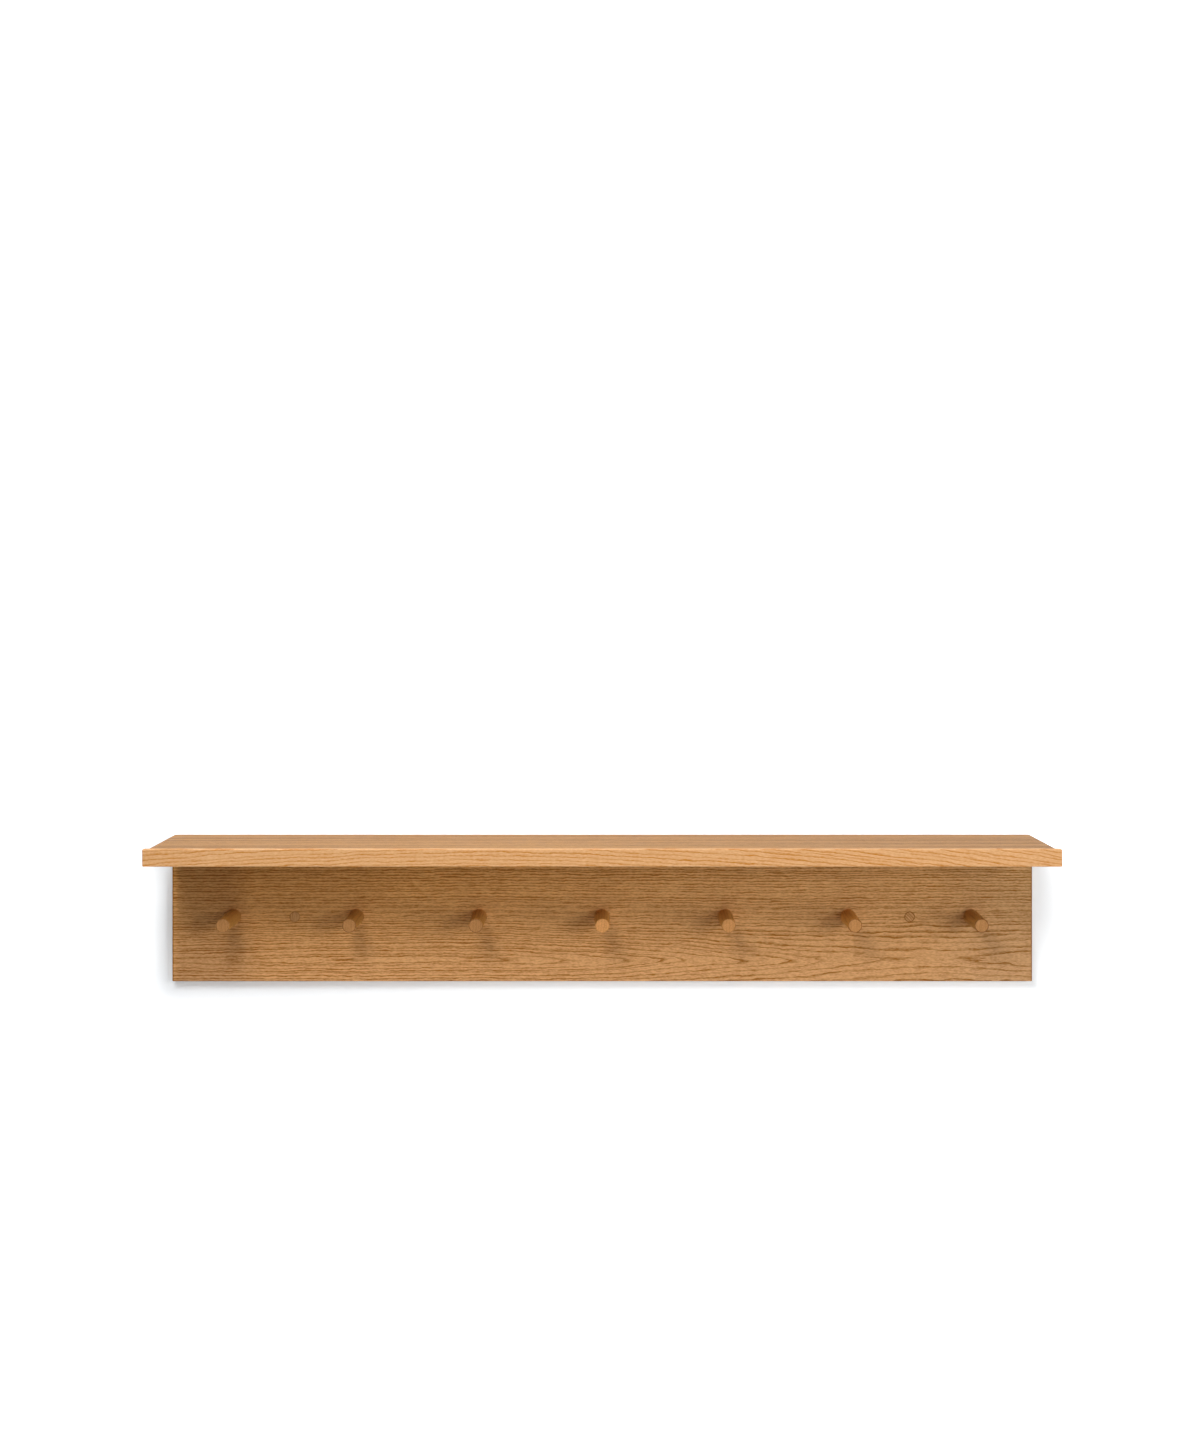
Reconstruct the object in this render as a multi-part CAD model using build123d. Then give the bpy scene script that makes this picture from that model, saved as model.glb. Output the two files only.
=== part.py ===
from build123d import *
import os

# A wall-hung oak peg rail with a shelf on top. All sizes are in millimetres.
#
# +X runs to the right along the rail, +Y into the wall and +Z up. The origin lies on the wall
# plane, midway between the two wall screws, and the pegs stand on the same level as the screws.

# Length of the whole rail. The rail, the shelf board and the lip are all cut to it.
length = 1000.0

# Shelf board, which lies on the rail and reaches back to the wall
shelf_depth = 180.0          # from the wall to the front of the lip
shelf_thickness = 16.0

# Lip glued on the front of the shelf board, level with the board's underside
lip_thickness = 10.0
lip_rise = 3.0               # how far it stands above the shelf
tongue_thickness = 4.0       # of the tongue behind the lip
tongue_depth = 5.0
tongue_stop = 20.0           # plain wood left at each end of the tongue
groove_clearance = 0.1       # between the tongue and each wall of its groove
groove_glue_room = 0.5       # beyond the tongue's front edge and its ends

# Rail, the upright board under the shelf
rail_thickness = 16.0
rail_above_pegs = 78.0       # from the pegs' level up to the shelf
rail_below_pegs = 75.0       # from the pegs' level down to the lower edge

# Rounding of every edge that a hand can reach
arris_radius = 1.0

# Pegs, turned with a tenon on the back
peg_count = 7
peg_end_distance = 71.0      # from the rail's end to the first peg
peg_length = 70.0            # in front of the rail
peg_base_diameter = 18.0
peg_tip_diameter = 16.0
peg_tip_rounding = 0.8
tenon_diameter = 12.0
tenon_clearance = 0.05       # all round the tenon
tenon_end_room = 0.5         # for glue, between the tenon and the bottom of its socket
tenon_chamfer = 0.6
socket_back_wall = 6.5       # wood left behind the socket

# Wood screws that draw the pegs against the rail, driven from the back
peg_screw_length = 35.0
peg_screw_diameter = 4.0     # over the thread
peg_screw_core_diameter = 2.8
peg_screw_pitch = 2.0
peg_screw_point_length = 4.0
peg_screw_head_diameter = 7.6
peg_screw_head_rim = 0.4     # straight edge of the countersunk head
peg_screw_head_sink = 0.4    # of the head below the back of the rail
peg_screw_clearance = 0.05   # all round the thread, in the peg
peg_screw_hole_diameter = 4.6
countersink_clearance = 0.1  # all round the head
pilot_beyond_screw = 2.0     # depth of the peg's hole past the screw's point
driver_slot_length = 3.6     # across the cross in the head
driver_slot_width = 0.9
driver_slot_depth = 1.5

# Wall screw holes, hidden by flush plugs
wall_screw_hole_diameter = 5.0
screw_seat_thickness = 7.0   # wood under the wall screw's head
screw_head_room = 3.0        # between the seat and the plug
counterbore_diameter = 12.0
plug_clearance = 0.05        # all round the plug
plug_chamfer = 0.5           # on its inner end
plug_rim_ease = 0.25         # of the plug's front edge and of the counterbore's mouth

# Fluted dowels between the rail's top edge and the shelf
dowel_count = 6
dowel_end_distance = 75.0    # from the rail's end to the first dowel
dowel_diameter = 8.0
dowel_length = 30.0
dowel_clearance = 0.05       # all round the dowel
dowel_end_room = 1.0         # beyond each end of the dowel
dowel_chamfer = 0.8
dowel_cover = 4.0            # wood left in the shelf above its hole
flute_count = 12
flute_diameter = 0.8

# Places that follow from the sizes above
shelf_underside = rail_above_pegs
shelf_top = shelf_underside + shelf_thickness
lip_back = shelf_depth - lip_thickness
peg_spacing = (length - 2 * peg_end_distance) / (peg_count - 1)
wall_screw_offset = length / 2 - peg_end_distance - peg_spacing / 2
socket_depth = rail_thickness - socket_back_wall
tenon_length = socket_depth - tenon_end_room
counterbore_depth = rail_thickness - screw_seat_thickness
plug_thickness = counterbore_depth - screw_head_room
dowel_spacing = (length - 2 * dowel_end_distance) / (dowel_count - 1)
dowel_hole_in_shelf = shelf_thickness - dowel_cover
dowel_top = shelf_underside + dowel_hole_in_shelf - dowel_end_room
dowel_bottom = dowel_top - dowel_length

# Round pieces are built standing on their lower end, centred on Z.
standing = (Align.CENTER, Align.CENTER, Align.MIN)


def board(reach, back, front, bottom, top):
    """A block that reaches as far left as right. back and front are distances from the wall."""
    middle = (0, -(back + front) / 2, (bottom + top) / 2)
    return Pos(*middle) * Box(2 * reach, front - back, top - bottom)


def out_of_wall(shape, x):
    """Lays a shape that was built upright so that its +Z points out of the wall, at x."""
    return Pos(x, 0, 0) * Rotation(90, 0, 0) * shape


def in_rail_middle(shape, x):
    """Moves an upright shape to the middle of the rail's thickness, at x."""
    return Pos(x, -rail_thickness / 2, 0) * shape


def upright_cylinder(diameter, start, end):
    """A cylinder along +Z from start to end."""
    return Pos(0, 0, start) * Cylinder(diameter / 2, end - start, align=standing)


def turned(outline):
    """The solid of an outline of (radius, height) points, turned about Z."""
    return revolve(make_face(Plane.XZ * Polyline(*outline, close=True)), Axis.Z)


def peg_places():
    first = peg_end_distance - length / 2
    return [first + index * peg_spacing for index in range(peg_count)]


def dowel_places():
    first = dowel_end_distance - length / 2
    return [first + index * dowel_spacing for index in range(dowel_count)]


def shelf_board():
    solid = board(length / 2, 0, lip_back, shelf_underside, shelf_top)
    # The front edges stay sharp, because the lip is glued on there.
    free_edges = solid.edges().filter_by(lambda edge: edge.center().Y > arris_radius - lip_back)
    solid = fillet(free_edges, arris_radius)
    middle = (shelf_underside + shelf_top) / 2
    half_groove = tongue_thickness / 2 + groove_clearance
    solid -= board(
        length / 2 - tongue_stop + groove_glue_room,
        lip_back - tongue_depth - groove_glue_room,
        lip_back,
        middle - half_groove,
        middle + half_groove,
    )
    hole_top = shelf_underside + dowel_hole_in_shelf
    dowel_hole = upright_cylinder(dowel_diameter, shelf_underside, hole_top)
    for x in dowel_places():
        solid -= in_rail_middle(dowel_hole, x)
    return solid


def front_lip():
    top = shelf_top + lip_rise
    solid = board(length / 2, lip_back, shelf_depth, shelf_underside, top)
    # Of the back's edges, only the one above the shelf is in reach.
    free_edges = solid.edges().filter_by(
        lambda edge: edge.center().Y < -lip_back or edge.center().Z > top - arris_radius
    )
    solid = fillet(free_edges, arris_radius)
    middle = (shelf_underside + shelf_top) / 2
    return solid + board(
        length / 2 - tongue_stop,
        lip_back - tongue_depth,
        lip_back,
        middle - tongue_thickness / 2,
        middle + tongue_thickness / 2,
    )


def peg_rail():
    solid = board(length / 2, 0, rail_thickness, -rail_below_pegs, rail_above_pegs)
    # The edges of the top stay sharp, because the shelf is glued on there.
    free_edges = solid.edges().filter_by(lambda edge: edge.center().Z < rail_above_pegs - arris_radius)
    solid = fillet(free_edges, arris_radius)

    socket = upright_cylinder(tenon_diameter, socket_back_wall, rail_thickness)
    screw_hole = upright_cylinder(peg_screw_hole_diameter, 0, socket_back_wall)
    for x in peg_places():
        solid -= out_of_wall(socket + screw_hole + peg_screw_countersink(), x)

    clearance_hole = upright_cylinder(wall_screw_hole_diameter, 0, screw_seat_thickness)
    for x in (-wall_screw_offset, wall_screw_offset):
        solid -= out_of_wall(wall_screw_counterbore() + clearance_hole, x)

    dowel_hole = upright_cylinder(dowel_diameter, dowel_bottom - dowel_end_room, rail_above_pegs)
    for x in dowel_places():
        solid -= in_rail_middle(dowel_hole, x)
    return solid


def peg_screw_countersink():
    """The seat of a peg screw's head, from the back of the rail, with room around the head."""
    rim = peg_screw_head_diameter / 2 + countersink_clearance
    throat = peg_screw_hole_diameter / 2
    cone_start = peg_screw_head_sink + peg_screw_head_rim
    # The head is a right-angled cone, so it narrows by as much as it goes in.
    cone_end = cone_start + rim - throat
    return turned([(0, 0), (rim, 0), (rim, cone_start), (throat, cone_end), (0, cone_end)])


def wall_screw_counterbore():
    """The seat of a wall screw's head and of its plug, with an eased mouth."""
    bottom = screw_seat_thickness
    front = rail_thickness
    wall = counterbore_diameter / 2
    mouth = wall + plug_rim_ease
    return turned([(0, bottom), (wall, bottom), (wall, front - plug_rim_ease), (mouth, front), (0, front)])


def peg():
    """One peg along +Z, measured from the wall plane, with its tenon and the hole for its screw."""
    tip = rail_thickness + peg_length
    cone = Cone(peg_base_diameter / 2, peg_tip_diameter / 2, peg_length, align=standing)
    body = Pos(0, 0, rail_thickness) * cone
    tip_edges = body.edges().filter_by(lambda edge: edge.center().Z > tip - peg_tip_rounding)
    body = fillet(tip_edges, peg_tip_rounding)
    tenon_start = rail_thickness - tenon_length
    tenon = upright_cylinder(tenon_diameter - 2 * tenon_clearance, tenon_start, rail_thickness)
    tenon = chamfer(tenon.edges().sort_by(Axis.Z)[0], tenon_chamfer)
    pilot_end = peg_screw_head_sink + peg_screw_length + pilot_beyond_screw
    pilot = upright_cylinder(peg_screw_diameter + 2 * peg_screw_clearance, tenon_start, pilot_end)
    return body + tenon - pilot


def peg_screw():
    """One countersunk wood screw along +Z, with its head just below the wall plane."""
    head = peg_screw_head_diameter / 2
    core = peg_screw_core_diameter / 2
    crest = peg_screw_diameter / 2
    start = peg_screw_head_sink
    end = start + peg_screw_length
    neck = start + peg_screw_head_rim + head - crest
    outline = [(0, start), (head, start), (head, start + peg_screw_head_rim), (crest, neck)]
    # The shank is plain through the rail, and its thread starts at the peg's tenon.
    thread_start = rail_thickness - tenon_length
    outline.append((crest, thread_start))
    turns = int((end - peg_screw_point_length - thread_start) / peg_screw_pitch)
    for turn in range(turns):
        groove = thread_start + turn * peg_screw_pitch
        outline.append((core, groove + peg_screw_pitch / 4))
        outline.append((core, groove + peg_screw_pitch * 3 / 4))
        outline.append((crest, groove + peg_screw_pitch))
    outline.append((core, end - peg_screw_point_length))
    outline.append((0, end))
    solid = turned(outline)
    for slot in (
        Box(driver_slot_length, driver_slot_width, 2 * driver_slot_depth),
        Box(driver_slot_width, driver_slot_length, 2 * driver_slot_depth),
    ):
        solid -= Pos(0, 0, start) * slot
    return solid


def plug():
    """One flush plug along +Z, level with the front of the rail."""
    start = rail_thickness - plug_thickness
    solid = upright_cylinder(counterbore_diameter - 2 * plug_clearance, start, rail_thickness)
    solid = chamfer(solid.edges().sort_by(Axis.Z)[0], plug_chamfer)
    return chamfer(solid.edges().sort_by(Axis.Z)[-1], plug_rim_ease)


def shelf_dowel():
    """One fluted dowel in its upright place, on the Z axis."""
    radius = dowel_diameter / 2 - dowel_clearance
    solid = upright_cylinder(2 * radius, dowel_bottom, dowel_top)
    solid = chamfer(solid.edges().filter_by(GeomType.CIRCLE), dowel_chamfer)
    flute = upright_cylinder(flute_diameter, dowel_bottom - flute_diameter, dowel_top + flute_diameter)
    for place in PolarLocations(radius, flute_count):
        solid -= place * flute
    return solid


def parts():
    """Every piece by its name, each in its place."""
    pieces = {
        "shelf_board": shelf_board(),
        "front_lip": front_lip(),
        "peg_rail": peg_rail(),
        "plug_left": out_of_wall(plug(), -wall_screw_offset),
        "plug_right": out_of_wall(plug(), wall_screw_offset),
    }
    for number, x in enumerate(peg_places(), start=1):
        pieces[f"peg_{number}"] = out_of_wall(peg(), x)
        pieces[f"peg_screw_{number}"] = out_of_wall(peg_screw(), x)
    for number, x in enumerate(dowel_places(), start=1):
        pieces[f"shelf_dowel_{number}"] = in_rail_middle(shelf_dowel(), x)
    return pieces


os.makedirs("parts", exist_ok=True)
for name, solid in parts().items():
    export_step(solid, f"parts/{name}.step")
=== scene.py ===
import math

import bpy
from mathutils import Matrix, Vector


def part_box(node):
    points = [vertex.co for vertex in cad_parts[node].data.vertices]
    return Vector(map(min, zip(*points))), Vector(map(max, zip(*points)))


# Looks of the wall-hung oak peg rail with a shelf. Everything is in metres, in the frame of the
# CAD model: +X to the right along the rail, +Y into the wall, +Z up, and the origin on the wall.
# Each CAD node keeps its shape and gets a procedural material. No piece is added to the object.

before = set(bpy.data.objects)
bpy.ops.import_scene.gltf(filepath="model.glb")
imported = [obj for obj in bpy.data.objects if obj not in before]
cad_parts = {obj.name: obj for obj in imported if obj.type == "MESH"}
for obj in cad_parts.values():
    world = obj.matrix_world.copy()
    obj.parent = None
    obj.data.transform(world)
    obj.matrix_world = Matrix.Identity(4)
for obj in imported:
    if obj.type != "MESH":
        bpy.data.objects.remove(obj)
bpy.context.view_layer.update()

# Places read from the frame
_, shelf_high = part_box("shelf_board")
lip_low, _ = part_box("front_lip")
rail_low, rail_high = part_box("peg_rail")


# ---------------------------------------------------------------------------------------------
# Node trees written as sums
# ---------------------------------------------------------------------------------------------

class Graph:
    """The node tree of a material or of the world."""

    def __init__(self, owner):
        self.owner = owner
        owner.use_nodes = True
        self.tree = owner.node_tree
        self.tree.nodes.clear()

    def feed(self, socket, value):
        """Links a field to the socket, or writes a plain value on it."""
        if isinstance(value, Field):
            self.tree.links.new(value.socket, socket)
        else:
            socket.default_value = value

    def node(self, kind, inputs, **settings):
        """A new node of that kind, with its settings and with a dict of socket names and values."""
        node = self.tree.nodes.new("ShaderNode" + kind)
        for setting, value in settings.items():
            setattr(node, setting, value)
        for socket, value in inputs.items():
            self.feed(node.inputs[socket], value)
        return node

    def field(self, kind, inputs, output, **settings):
        """One output of a new node."""
        return Field(self, self.node(kind, inputs, **settings).outputs[output])

    def place(self):
        """Across, deep and up, as the CAD model has them. They stay on a piece when it moves."""
        return self.field("TexCoord", {}, "Object").parts()

    def material(self, surface):
        """Ends the tree with that surface, and returns its material."""
        self.node("OutputMaterial", {"Surface": surface})
        return self.owner


class Field:
    """A number, vector or colour that varies over a surface. Arithmetic on it adds the nodes for it."""

    def __init__(self, graph, socket):
        self.graph = graph
        self.socket = socket

    def math(self, operation, *others):
        values = {index: value for index, value in enumerate((self, *others))}
        return self.graph.field("Math", values, "Value", operation=operation)

    def __add__(self, other):
        return self.math("ADD", other)

    def __sub__(self, other):
        return self.math("SUBTRACT", other)

    def __rsub__(self, other):
        return self * -1.0 + other

    def __mul__(self, other):
        """Times a number, or times another colour where both are colours."""
        if self.socket.type == "RGBA":
            return mixed(self.graph, 1.0, self, other, blend_type="MULTIPLY")
        return self.math("MULTIPLY", other)

    def __truediv__(self, other):
        return self.math("DIVIDE", other)

    def __pow__(self, other):
        return self.math("POWER", other)

    def size(self):
        return self.math("ABSOLUTE")

    def at_least(self, other):
        return self.math("MAXIMUM", other)

    def at_most(self, other):
        return self.math("MINIMUM", other)

    def ramp(self, start, end):
        """0 up to start, 1 from end on, and smooth between. start may be the larger of the two."""
        values = {"Value": self, "From Min": start, "From Max": end}
        return self.graph.field("MapRange", values, "Result", interpolation_type="SMOOTHSTEP")

    def spread(self, low, high):
        """low where this is 0, and high where it is 1."""
        return self * (high - low) + low

    def curve(self, points):
        """A smooth curve through those points, over 0 to 1."""
        node = self.graph.node("FloatCurve", {"Value": self})
        curve = node.mapping.curves[0]
        for spot, (place, value) in zip(curve.points, (points[0], points[-1])):
            spot.location = (place, value)
        for place, value in points[1:-1]:
            curve.points.new(place, value)
        node.mapping.update()
        return Field(self.graph, node.outputs["Value"])

    def parts(self):
        """The three numbers of a vector."""
        node = self.graph.node("SeparateXYZ", {"Vector": self})
        return [Field(self.graph, node.outputs[axis]) for axis in "XYZ"]


def new_material(name):
    return Graph(bpy.data.materials.new(name))


def vector(graph, x, y, z):
    return graph.field("CombineXYZ", {"X": x, "Y": y, "Z": z}, "Vector")


def mixed(graph, share, first, second, **settings):
    """The colour second to that share, and first for the rest."""
    mix = graph.node("Mix", {"Factor": share}, data_type="RGBA", **settings)
    graph.feed(mix.inputs[6], first)
    graph.feed(mix.inputs[7], second)
    return Field(graph, mix.outputs[2])


def colour(red, green, blue):
    return (red, green, blue, 1)


WHITE = colour(1, 1, 1)


# ---------------------------------------------------------------------------------------------
# Wood
# ---------------------------------------------------------------------------------------------

class Grain:
    """Place in the log: along the grain, deep into the board and up its face, in metres."""

    def __init__(self, graph, turn, seed):
        place = graph.field("TexCoord", {}, "Object")
        laid = {"Vector": place, "Rotation": turn}
        self.graph = graph
        self.turn = turn
        self.seed = seed
        self.along, self.deep, self.up = graph.field("Mapping", laid, "Vector").parts()

    def sway(self, wave):
        """Bends the grain up and down by that field."""
        self.up = self.up + wave

    def noise(self, along, across, detail, shift, roughness=0.5):
        """Noise from about -1 to 1 with patches that long and that wide. shift tells it from others."""
        start = self.along / along + (self.seed + shift)
        place = vector(self.graph, start, self.deep / across, self.up / across)
        values = {"Vector": place, "Scale": 1, "Detail": detail, "Roughness": roughness}
        return (self.graph.field("TexNoise", values, "Fac") - 0.5) * 2.6

    def pores(self, length, width):
        """1 in short dashes along the grain."""
        cells = vector(self.graph, self.along / length + self.seed, self.deep / width, self.up / width)
        return self.graph.field("TexVoronoi", {"Vector": cells, "Scale": 1}, "Distance").ramp(0.45, 0.20)

    def end_cut(self):
        """1 where the surface cuts the grain square, and 0 where it runs along it."""
        facing = self.graph.field("TexCoord", {}, "Normal")
        turned = {"Vector": facing, "Rotation": self.turn}
        along, _, _ = self.graph.field(
            "VectorRotate", turned, "Vector", rotation_type="EULER_XYZ",
        ).parts()
        return along.size().ramp(0.35, 0.95)


# Noise in the oak: the length and width of its patches, its detail, its shift and its roughness
LONG_SWAY = (0.34, 0.30, 1, 5)
SHORT_SWAY = (0.08, 0.03, 1, 6)
RIPPLE = (0.012, 0.007, 1, 8)
PITH_WANDER = (0.16, 0.04, 1, 0)
RING_WAVE = (0.08, 0.020, 2, 7)
RING_DRIFT = (0.5, 0.05, 1, 3)
RING_RIPPLE = (0.035, 0.0045, 1, 9)
BREAKS = (0.024, 0.0030, 2, 23, 0.6)
FRAYS = (0.030, 0.0030, 2, 29, 0.6)
FIBRES = (0.014, 0.0010, 2, 11, 0.65)
STREAKS = (0.075, 0.0040, 3, 13, 0.72)
SPECKLE = (0.0036, 0.0012, 1, 19)
PATCHES = (0.45, 0.022, 2, 17)
BANDS = (0.60, 0.010, 1, 31)

RIPPLE_HEIGHT = 0.0009
PITH_WANDER_REACH = 0.0012
ARCH_SUMMIT = -0.12         # where along the board the grain arches
TAPER_REACH = 0.048         # how far from the pith a thinner log bends its rings
LINE_WIDTH = 0.0022         # of a ring's line of open pores, to where it has faded out
FINE_LINES = 2.3            # to each ring
FINE_LINES_SHIFT = 41
PORE_SIZE = (0.0065, 0.00065)
RAY_ANGLE = 0.030           # between the rays of a cut end
RAY_LENGTH = 0.012
RELIEF_DEPTH = 0.00012


def bend(grain, sway, arch):
    """Lets the grain wander up and down by about sway, and arches it."""
    grain.sway(grain.noise(*LONG_SWAY) * sway + grain.noise(*SHORT_SWAY) * sway * 0.28)
    grain.sway(grain.noise(*RIPPLE) * RIPPLE_HEIGHT)
    from_summit = grain.along - ARCH_SUMMIT
    grain.sway(from_summit * from_summit * arch)


def from_pith(grain, face, pith, pith_height, taper):
    """How far behind the pith a place lies, how far above it, and how far from it in all. The pith
    wanders, and where the log is thinner its rings lie closer to the pith."""
    share_along = grain.along + 0.5
    depth = grain.deep - face + grain.noise(*PITH_WANDER) * PITH_WANDER_REACH - share_along.curve(pith)
    height = grain.up - pith_height
    radius = (depth * depth + height * height) ** 0.5
    if taper:
        radius = radius + share_along.curve(taper) * height.size().ramp(TAPER_REACH, 0.0)
    return depth, height, radius


def count_rings(grain, radius, ring):
    """The number of rings from the pith. Each ring waves a little by itself."""
    rings = radius / ring + grain.noise(*RING_WAVE) * 0.30 + grain.noise(*RING_DRIFT) * 0.6
    return rings + grain.noise(*RING_RIPPLE) * 0.30


def pore_line(grain, rings, thickness, shift=0):
    """1 on a line in each ring, with a place and a strength of its own, that starts sharp and fades."""
    number = rings.math("FLOOR")
    chance = grain.graph.field(
        "TexWhiteNoise", {"W": number + (grain.seed + shift)}, "Value", noise_dimensions="1D",
    )
    after = rings - number - chance * 0.5 - 0.15
    strength = (chance * 7.3).math("FRACT").spread(0.6, 1.0)
    return after.ramp(-0.05, 0.0) * (after / thickness).ramp(1.0, 0.0) * strength


def pore_lines(grain, rings, ring, steepness, ends):
    """The lines of open pores, one to each ring and finer ones between. A line is as thin where the
    face runs along the ring as where it crosses it, and it fades and comes back along its length."""
    thickness = (steepness * (LINE_WIDTH / ring)).at_least(0.30)
    broken = grain.noise(*BREAKS).ramp(-0.7, 0.45).spread(0.35, 1.0)
    frayed = grain.noise(*FRAYS).ramp(-0.40, 0.50)
    lines = pore_line(grain, rings, thickness) * broken
    lines = lines * steepness.spread(0.8, 1.0) * ends.spread(1.0, 0.5)
    fine_lines = pore_line(grain, rings * FINE_LINES + frayed * 0.3, 0.55, FINE_LINES_SHIFT) * frayed
    return lines, fine_lines


def rays(grain, depth, height, radius):
    """Fine lines that run out from the pith."""
    angle = height.math("ARCTAN2", depth)
    spokes = vector(grain.graph, angle / RAY_ANGLE, radius / RAY_LENGTH, grain.seed)
    noise = {"Vector": spokes, "Scale": 1, "Detail": 1}
    return grain.graph.field("TexNoise", noise, "Fac").ramp(0.56, 0.70)


def oak(name, side, end, seed, turn=(0, 0, 0), face=0.0, pith=((0, 0.03), (1, 0.03)), pith_height=0.0,
        taper=None, ring=0.0031, sway=0.003, arch=0.0, bands=0.0, contrast=1.0, marks=None, tone=None):
    """Oiled oak.

    side, end    the pairs of light and dark colours of its long grain and of its cut ends
    seed         a number of the piece's own
    turn         how the piece is turned to lie along its log
    face         where the board's face lies along the depth of the log
    pith         how far behind the face the pith lies, as points over the length
    pith_height  how far up the face the pith lies
    taper        by how much thinner the log is, as points over the length
    ring         how wide a ring is
    sway, arch   how far the grain wanders up and down, and how strongly it arches
    bands        how strongly long bands show across the grain
    contrast     of the grain
    marks        a function of the graph and the cut ends that gives how much darker a place is
    tone         a function of the graph and the grain that gives what the colour is multiplied by
    """
    graph = new_material(name)
    grain = Grain(graph, turn, seed)
    bend(grain, sway, arch)
    depth, height, radius = from_pith(grain, face, pith, pith_height, taper)
    rings = count_rings(grain, radius, ring)
    ends = grain.end_cut()
    steepness = (height / radius).size().at_least(ends)

    # How dark the wood is, from 0 to 1
    lines, fine_lines = pore_lines(grain, rings, ring, steepness, ends)
    fibres = grain.noise(*FIBRES)
    speckle = grain.noise(*SPECKLE)
    pores = grain.pores(*PORE_SIZE)
    shade = lines + fine_lines * 0.20 + fibres * 0.40 + speckle * 0.36 + grain.noise(*STREAKS) * 0.08
    shade = shade + grain.noise(*PATCHES) * 0.08 + pores * 0.06 - steepness * 0.06
    shade = (shade - 0.22) * contrast + 0.45
    if bands:
        shade = shade + grain.noise(*BANDS) * bands
    shade = shade - rays(grain, depth, height, radius) * ends * 0.15
    if marks:
        shade = shade + marks(graph, ends)
    shade = shade.at_least(0.0).at_most(1.0)

    tint = mixed(graph, ends, mixed(graph, shade, *side), mixed(graph, shade, *end))
    if tone:
        tint = tint * tone(graph, grain)
    roughness = pores * 0.08 + lines * 0.06 + 0.58
    relief = speckle * 0.12 - pores * 0.4 - fibres * 0.15 - lines * 0.4
    bump = graph.field("Bump", {"Height": relief, "Distance": RELIEF_DEPTH, "Strength": 0.5}, "Normal")
    return graph.material(graph.field("BsdfPrincipled", {
        "Base Color": tint, "Roughness": roughness, "Normal": bump, "Specular IOR Level": 0.20,
    }, "BSDF"))


def beech(name):
    """Bare beech with its fine flecks. Its grain runs up the dowels."""
    graph = new_material(name)
    grain = Grain(graph, (0, math.pi / 2, 0), 200.0)
    flecks = grain.pores(0.0025, 0.0004)
    fibres = grain.noise(0.012, 0.0008, 3, 10)
    shade = flecks * 0.6 + fibres * 0.25 + grain.end_cut() * 0.2 + 0.2
    tint = mixed(graph, shade, colour(0.70, 0.50, 0.31), colour(0.42, 0.24, 0.12))
    roughness = fibres * 0.05 + 0.70
    relief = fibres - flecks
    bump = graph.field("Bump", {"Height": relief, "Distance": 0.0001, "Strength": 0.5}, "Normal")
    return graph.material(graph.field("BsdfPrincipled", {
        "Base Color": tint, "Roughness": roughness, "Normal": bump, "Specular IOR Level": 0.20,
    }, "BSDF"))


# ---------------------------------------------------------------------------------------------
# Steel
# ---------------------------------------------------------------------------------------------

GROOVE_WIDTH = 0.00025
CLOUD_WIDTH = 0.002


def zinc_steel(name, pitch):
    """Zinc plated steel, turned round each screw's axis. The screws stand in a row at that pitch."""
    graph = new_material(name)
    across, deep, up = graph.place()
    aside = across - (across / pitch).math("ROUND") * pitch
    radius = (aside * aside + up * up) ** 0.5
    turned = vector(graph, radius / GROOVE_WIDTH, deep / GROOVE_WIDTH, 0.0)
    grooves = graph.field("TexNoise", {"Vector": turned, "Scale": 1, "Detail": 2}, "Fac")
    cloudy = vector(graph, across / CLOUD_WIDTH, deep / CLOUD_WIDTH, up / CLOUD_WIDTH)
    clouds = graph.field("TexNoise", {"Vector": cloudy, "Scale": 1, "Detail": 3}, "Fac")
    tint = mixed(graph, clouds.ramp(0.30, 0.70), colour(0.60, 0.59, 0.55), colour(0.72, 0.68, 0.56))
    roughness = grooves * 0.12 + clouds * 0.12 + 0.22
    bump = graph.field("Bump", {"Height": grooves, "Distance": 0.00003, "Strength": 0.4}, "Normal")
    return graph.material(graph.field("BsdfPrincipled", {
        "Base Color": tint, "Roughness": roughness, "Normal": bump, "Metallic": 1.0,
    }, "BSDF"))


# ---------------------------------------------------------------------------------------------
# Marks and tones of single pieces
# ---------------------------------------------------------------------------------------------

ARRIS_SHADE = (0.0018, 0.0010)        # how far in from the end the painted arris shade starts, and is full
FRONT_ONLY = (0.0015, 0.0005)   # how far behind the face its marks start, and are full

PLUG_X = 0.3575
PLUG_RADIUS = 0.006
PLUG_JOINT = PLUG_RADIUS - 0.0003   # the radius of the joint's mark on the plug
TIP_RIM_SHADE = 0.0077                    # the radius of the painted shade on a peg's rounded tip rim

# The rail's tones low and high on it, at its left and at its right, and from where to where they mix
# The high tones are lighter and warmer than the low ones: painted light near the top, under the shelf.
LEFT_TONES = (colour(1.05, 1.01, 1.00), colour(1.22, 1.14, 0.82))
RIGHT_TONES = (colour(0.97, 0.95, 0.97), colour(1.18, 1.20, 1.14))
LEFT_TO_RIGHT = (-0.45, 0.40)

# The painted shade at its right end, and the deeper painted shade near its left end
# Painted shade: the right end is made a little darker.
RIGHT_END_SHADE_TONE = colour(0.90, 0.93, 1.00)
RIGHT_END = (0.36, 0.47)
# Painted shade near the left end and at the upper left corner, on the front face only.
LEFT_SHADE_TONE = colour(0.67, 0.66, 0.70)
LEFT_SHADE_END = (-0.385, -0.440)
LEFT_SHADE_CORNER = (-0.18, -0.38)
LEFT_SHADE_FACE = (0.006, 0.002)        # how far behind the face it starts, and is full
LEFT_SHADE_EDGE = (0.003, 0.010)        # how far in from the end it starts, and is full


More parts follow.
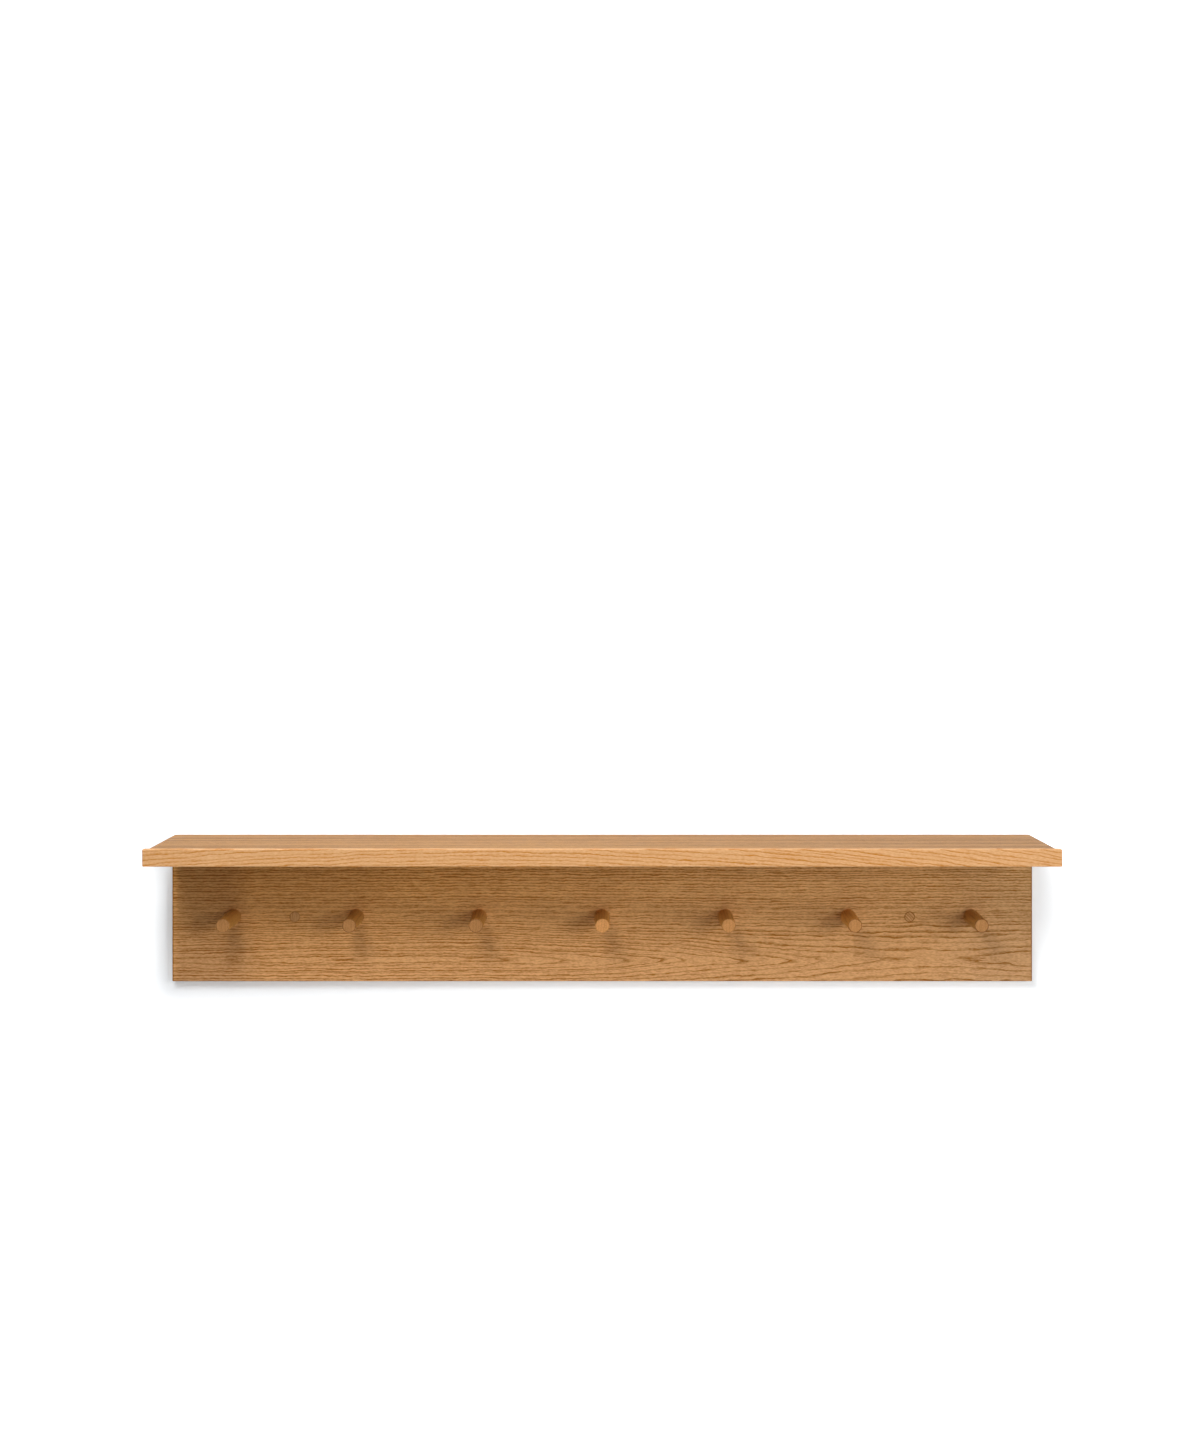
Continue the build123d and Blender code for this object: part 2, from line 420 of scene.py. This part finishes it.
def circle_mark(graph, x, radius, width):
    """1 on a circle round the axis of a peg or plug at x, and 0 at that width from it."""
    across, _, up = graph.place()
    aside = across - x
    return ((aside * aside + up * up) ** 0.5 - radius).size().ramp(width, width / 4)


def end_arris_shade(graph, ends, reach):
    """1 on the eased arrises at the ends of a board that reaches so far, where shade is painted, and 0
    on its cut ends.
    """
    across, _, _ = graph.place()
    start, full = ARRIS_SHADE
    return across.size().ramp(reach - start, reach - full) * (1.0 - ends)


def near_front(graph, front):
    """1 at the front face, and 0 just behind it."""
    _, deep, _ = graph.place()
    start, full = FRONT_ONLY
    return deep.ramp(front + start, front + full)


def left_end_shade(grain):
    """Painted shade on the rail's face: deeper near the left end and at the upper left, apart from the
    last few millimetres."""
    end = grain.along.ramp(*LEFT_SHADE_END) * grain.up.ramp(-0.02, 0.03).spread(0.6, 1.0)
    corner = grain.along.ramp(*LEFT_SHADE_CORNER) * grain.up.ramp(-0.03, 0.05) * 0.5
    face = grain.deep.ramp(*(rail_low.y + behind for behind in LEFT_SHADE_FACE))
    edge = grain.along.ramp(*(rail_low.x + inside for inside in LEFT_SHADE_EDGE)).spread(0.4, 1.0)
    return end.at_least(corner) * face * edge


def rail_light_and_shade(graph, grain):
    """Painted light and shade over the rail: lighter and warmer towards the top, golden at the upper
    left and paler at the upper right, painted shade a little darker at the right end, and deeper painted
    shade near the left end."""
    height = grain.up.ramp(rail_low.z, rail_high.z)
    # Lighter and warmer towards the top: painted light.
    left, right = (mixed(graph, height, *tones) for tones in (LEFT_TONES, RIGHT_TONES))
    slow = mixed(graph, grain.along.ramp(*LEFT_TO_RIGHT), left, right)
    # A little darker at the right end: painted shade.
    slow = slow * mixed(graph, grain.along.ramp(*RIGHT_END), WHITE, RIGHT_END_SHADE_TONE)
    # Darker near the left end: painted shade.
    return slow * mixed(graph, left_end_shade(grain), WHITE, LEFT_SHADE_TONE)


def rail_marks(graph, ends):
    """Dust and oil that have settled in the joint round each plug, and a dark line on the arris at each
    end: partly oil, partly painted shade where the arris turns from the light.
    """
    left, right = (circle_mark(graph, x, PLUG_RADIUS, 0.0006) for x in (-PLUG_X, PLUG_X))
    # Painted shade on the eased arrises at the ends.
    arrises = end_arris_shade(graph, ends, rail_high.x)
    return (left * 0.15 + right * 0.3 + arrises * 0.8) * near_front(graph, rail_low.y)


def shelf_arris_shade(graph, ends):
    """A dark line on the arrises at both ends: partly oil, partly painted shade where they turn from the
    light.
    """
    # Painted shade on the arrises.
    return end_arris_shade(graph, ends, shelf_high.x) * 0.5


# ---------------------------------------------------------------------------------------------
# The CAD nodes and their materials
# ---------------------------------------------------------------------------------------------

# Light and dark colours
RAIL_SIDE = (colour(0.725, 0.400, 0.165), colour(0.300, 0.111, 0.009))
RAIL_END_CUT = (colour(0.46, 0.235, 0.080), colour(0.16, 0.060, 0.014))
SHELF_SIDE = (colour(0.505, 0.251, 0.069), colour(0.160, 0.055, 0.003))
SHELF_END_CUT = (colour(0.46, 0.235, 0.080), colour(0.16, 0.060, 0.014))
LIP_SIDE = (colour(0.808, 0.474, 0.228), colour(0.555, 0.198, 0.020))
LIP_END_CUT = (colour(0.56, 0.290, 0.110), colour(0.26, 0.100, 0.024))
# The pegs' sides are darker and more orange than the rail's oak: partly painted shade, for the shade
# under the shelf.
PEG_SIDE_SHADED = (colour(0.56, 0.272, 0.060), colour(0.29, 0.118, 0.017))
PEG_END_CUT = (colour(0.52, 0.250, 0.082), colour(0.22, 0.083, 0.018))

# The rail's face runs just past the pith at the left, and leaves it behind towards the right. The log
# is thinner there too, so that its rings run out at the face in sharp arches.
RAIL_PITH = [(0.0, 0.003), (0.5, 0.003), (0.62, 0.004), (0.72, 0.006), (0.84, 0.010), (1.0, 0.009)]
RAIL_TAPER = [(0.0, 0.0), (0.42, 0.0), (0.52, 0.004), (0.66, 0.013), (0.84, 0.017), (1.0, 0.0155)]
RAIL_PITH_HEIGHT = -0.050

# Each peg from the left: how light its side is, how light its tip is, and how dark the painted shade on
# the tip's rim is
PEGS = [
    (0.97, 0.95, 0.3), (0.93, 0.95, 0.6), (1.03, 0.97, 0.5), (1.15, 1.48, 0.1), (1.15, 1.26, 0.3),
    (1.32, 1.16, 0.9), (0.92, 1.00, 1.0),
]

# Each plug: its side of the middle, how its grain is turned, its contrast and how dark its joint is
PLUGS = {
    "left": (-1, math.pi / 2, 0.45, 0.3),
    "right": (1, -math.pi / 4, 0.65, 0.6),
}
DOWELS = 6


def dress(node, material):
    """Gives a CAD node one material all over."""
    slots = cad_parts[node].data.materials
    slots.clear()
    slots.append(material)


def toned(pair, tone):
    """The pair of colours made lighter or darker."""
    return [colour(*(channel * tone for channel in each[:3])) for each in pair]


def dress_peg(number, side_tone, tip_tone, rim):
    """A peg, with its grain along it and a dark rim round its tip: painted shade on the rounded rim,
    partly burnished wood.
    """
    low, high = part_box(f"peg_{number}")
    middle = (low.x + high.x) / 2

    def tip_rim_shade(graph, ends):
        # Painted shade on the rounded rim of the tip.
        return circle_mark(graph, middle, TIP_RIM_SHADE, 0.0010) * ends * rim

    dress(f"peg_{number}", oak(
        f"peg_oak_{number}", toned(PEG_SIDE_SHADED, side_tone), toned(PEG_END_CUT, tip_tone),
        100.0 + 3 * number, turn=(0, 0, -math.pi / 2), face=0.05, contrast=0.7, marks=tip_rim_shade,
    ))


def dress_plug(side, sign, tilt, contrast, dark):
    """A plug, whose grain lies across the rail's, with dust in the joint round its face."""
    def joint_mark(graph, ends):
        joint = circle_mark(graph, sign * PLUG_X, PLUG_JOINT, 0.0008)
        return joint * near_front(graph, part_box(f"plug_{side}")[0].y) * dark

    dress(f"plug_{side}", oak(
        f"plug_oak_{side}", RAIL_SIDE, RAIL_END_CUT, 140.0 + sign, turn=(0, tilt, 0), ring=0.0024,
        contrast=contrast, marks=joint_mark,
    ))


dress("peg_rail", oak(
    "rail_oak", RAIL_SIDE, RAIL_END_CUT, 0.0, face=rail_low.y, pith=RAIL_PITH,
    pith_height=RAIL_PITH_HEIGHT, taper=RAIL_TAPER, contrast=1.08, marks=rail_marks, tone=rail_light_and_shade,
))
dress("shelf_board", oak(
    "shelf_oak", SHELF_SIDE, SHELF_END_CUT, 40.0, turn=(math.pi / 2, 0, 0), face=-shelf_high.z,
    pith_height=0.12, pith=((0, 0.06), (1, 0.06)), bands=0.50, marks=shelf_arris_shade,
))
dress("front_lip", oak(
    "lip_oak", LIP_SIDE, LIP_END_CUT, 80.0, face=lip_low.y, pith=((0, 0.03), (1, 0.05)),
    pith_height=-0.08, ring=0.0040, sway=0.003, arch=0.13, contrast=0.92,
))
for number, looks in enumerate(PEGS, 1):
    dress_peg(number, *looks)
for side, looks in PLUGS.items():
    dress_plug(side, *looks)

first_peg, second_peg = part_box("peg_1")[0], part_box("peg_2")[0]
screw_zinc = zinc_steel("screw_zinc", second_peg.x - first_peg.x)
for number in range(1, len(PEGS) + 1):
    dress(f"peg_screw_{number}", screw_zinc)
dowel_beech = beech("dowel_beech")
for number in range(1, DOWELS + 1):
    dress(f"shelf_dowel_{number}", dowel_beech)


# ---------------------------------------------------------------------------------------------
# Wall and floor
# ---------------------------------------------------------------------------------------------

STAGE_REACH = 6.0               # how far the wall and the floor run from the middle
WALL_TOP = 4.0
FLOOR_LEVEL = -1.5
WALL_GAP = 0.0005               # between the back of the rail and the wall
WALL_HOLE_MARGIN = 0.001        # by how much the hole behind the rail is smaller than the rail
WALL_TONE = (0.870, 0.900, 0.925)
FLOOR_TONE = (0.80, 0.80, 0.80)

# How much the paint glows for the camera: the floor's, the wall's far from the rail, and the wall's
# beside it, where it is in the rail's shadow
FLOOR_GLOW = 0.30
FAR_GLOW = 0.62
# Less glow at the left paints the wall's shadow deeper there: painted shadow.
LEFT_GLOW = 0.12                # at the rail's left end
RIGHT_GLOW = 0.26               # from the rail's middle on
SHADE_REACH = (0.004, 0.050)    # how far from the rail the shadow starts to fade, and ends
SHELF_SHADE = 0.03              # how far below the rail's top it already starts to fade


def stage_piece(name, corners, faces, material):
    mesh = bpy.data.meshes.new(name)
    mesh.from_pydata(corners, [], faces)
    mesh.materials.append(material)
    piece = bpy.data.objects.new(name, mesh)
    bpy.context.scene.collection.objects.link(piece)


def upright(left, right, bottom, top):
    """The corners of an upright rectangle on the wall, which faces -Y."""
    return [(x, WALL_GAP, z) for x, z in ((left, bottom), (right, bottom), (right, top), (left, top))]


def level(left, right, front, back):
    """The corners of a rectangle on the floor, which faces up."""
    return [(x, y, FLOOR_LEVEL) for x, y in ((left, front), (right, front), (right, back), (left, back))]


def seen_directly(graph):
    """1 for what the camera and mirror-like reflections see, and 0 for light that bounces on."""
    path = graph.node("LightPath", {})
    camera = Field(graph, path.outputs["Is Camera Ray"])
    glossy = Field(graph, path.outputs["Is Glossy Ray"])
    return camera.at_least(glossy)


def wall_glow(graph):
    """Weak close to the rail, where the wall is in its shadow, and strong from there on. The glow is
    weaker at the left, away from the brightest lamp, which paints the shadow there deeper."""
    across, _, up = graph.place()
    top = rail_high.z - SHELF_SHADE
    middle = (rail_low.z + top) / 2
    half_height = (top - rail_low.z) / 2
    beside = (across.size() - rail_high.x).at_least(0.0)
    above = ((up - middle).size() - half_height).at_least(0.0)
    away = (beside * beside + above * above) ** 0.5
    shaded = across.ramp(rail_low.x, 0.0).spread(LEFT_GLOW, RIGHT_GLOW)
    return shaded + away.ramp(*SHADE_REACH) * (FAR_GLOW - shaded)


def pale_paint(name, tone, glow):
    """Pale matt paint. It is clear from behind, and glows for the camera so that it reads as white.
    glow is a number, or a function of the graph that gives it over the surface."""
    graph = new_material(name)
    diffuse = graph.field("BsdfDiffuse", {"Color": colour(*tone)}, "BSDF")
    strength = glow(graph) if callable(glow) else glow
    glowing = graph.field("Emission", {"Strength": seen_directly(graph) * strength}, "Emission")
    both = graph.field("AddShader", {0: diffuse, 1: glowing}, "Shader")
    clear = graph.field("BsdfTransparent", {}, "BSDF")
    behind = graph.field("NewGeometry", {}, "Backfacing")
    return graph.material(graph.field("MixShader", {0: behind, 1: both, 2: clear}, "Shader"))


# The wall has a hole behind the rail, so that the back can be seen from behind it.
wall_outline = upright(-STAGE_REACH, STAGE_REACH, FLOOR_LEVEL, WALL_TOP)
wall_hole = upright(
    rail_low.x + WALL_HOLE_MARGIN, rail_high.x - WALL_HOLE_MARGIN,
    rail_low.z + WALL_HOLE_MARGIN, shelf_high.z - WALL_HOLE_MARGIN,
)
wall_faces = [(side, (side + 1) % 4, (side + 1) % 4 + 4, side + 4) for side in range(4)]
stage_piece("wall", wall_outline + wall_hole, wall_faces, pale_paint("wall_paint", WALL_TONE, wall_glow))
floor_outline = level(-STAGE_REACH, STAGE_REACH, -STAGE_REACH, STAGE_REACH)
stage_piece("floor", floor_outline, [(0, 1, 2, 3)], pale_paint("floor_paint", FLOOR_TONE, FLOOR_GLOW))


# ---------------------------------------------------------------------------------------------
# Light
# ---------------------------------------------------------------------------------------------

# Softboxes, all turned to the rail: place, width and power in watts
SOFTBOXES = {
    "upper_softbox": ((-0.50, -2.00, 1.25), 0.80, 25.7),
    "right_softbox": ((1.30, -2.60, 0.45), 0.70, 16.2),
    "side_softbox": ((1.40, -1.20, 0.00), 0.80, 5.4),
    "top_softbox": ((-0.37, -0.31, 2.15), 0.55, 19.0),
}
LIT_POINT = Vector((0, -0.05, 0))
ROOM_LIGHT = 0.096              # from all round
BACK_LIGHT = 1.0                # from behind the wall, for views of the back
BACK_FROM = 0.3                 # how far inwards a direction points where the back light is full


def softbox(name, place, width, power):
    lamp = bpy.data.lights.new(name, "AREA")
    lamp.shape = "DISK"
    lamp.size = width
    lamp.energy = power
    away = Vector(place) - LIT_POINT
    holder = bpy.data.objects.new(name, lamp)
    holder.matrix_world = Matrix.Translation(place) @ away.to_track_quat("Z", "Y").to_matrix().to_4x4()
    bpy.context.scene.collection.objects.link(holder)


def room():
    """White where it is seen past the wall, directly or mirrored. Its light is dim and even, and
    bright from behind the wall, from where it reaches the object only through the hole."""
    world = bpy.data.worlds.new("room")
    bpy.context.scene.world = world
    graph = Graph(world)
    _, inwards, _ = graph.field("TexCoord", {}, "Generated").parts()
    sides = {"From Min": 0.0, "From Max": BACK_FROM, "To Min": ROOM_LIGHT, "To Max": BACK_LIGHT}
    light = graph.field("MapRange", {"Value": inwards, **sides}, "Result")
    seen = {"Value": seen_directly(graph), "To Min": light, "To Max": 1.0}
    strength = graph.field("MapRange", seen, "Result")
    background = graph.field("Background", {"Color": WHITE, "Strength": strength}, "Background")
    graph.node("OutputWorld", {"Surface": background})


for name, (place, width, power) in SOFTBOXES.items():
    softbox(name, place, width, power)
room()


# ---------------------------------------------------------------------------------------------
# Camera
# ---------------------------------------------------------------------------------------------

# The camera stands level, straight in front of the rail, and its shift frames the rail low.
PHOTO_WIDTH, PHOTO_HEIGHT = 1200, 1440
SENSOR_WIDTH = 36.0             # in millimetres
CAMERA_DISTANCE = 2.506
CAMERA_HEIGHT = 0.3603
FOCAL_PIXELS = 2141.2
VANISHING_POINT = (602.2, 607.0)

camera = bpy.data.cameras.new("camera")
camera.sensor_width = SENSOR_WIDTH
camera.lens = FOCAL_PIXELS / PHOTO_HEIGHT * SENSOR_WIDTH
camera.shift_x = (PHOTO_WIDTH / 2 - VANISHING_POINT[0]) / PHOTO_HEIGHT
camera.shift_y = (VANISHING_POINT[1] - PHOTO_HEIGHT / 2) / PHOTO_HEIGHT
holder = bpy.data.objects.new("camera", camera)
holder.location = (0, -CAMERA_DISTANCE, CAMERA_HEIGHT)
holder.rotation_euler = (math.pi / 2, 0, 0)
bpy.context.scene.collection.objects.link(holder)
bpy.context.scene.camera = holder

bpy.context.scene.view_settings.view_transform = "Standard"
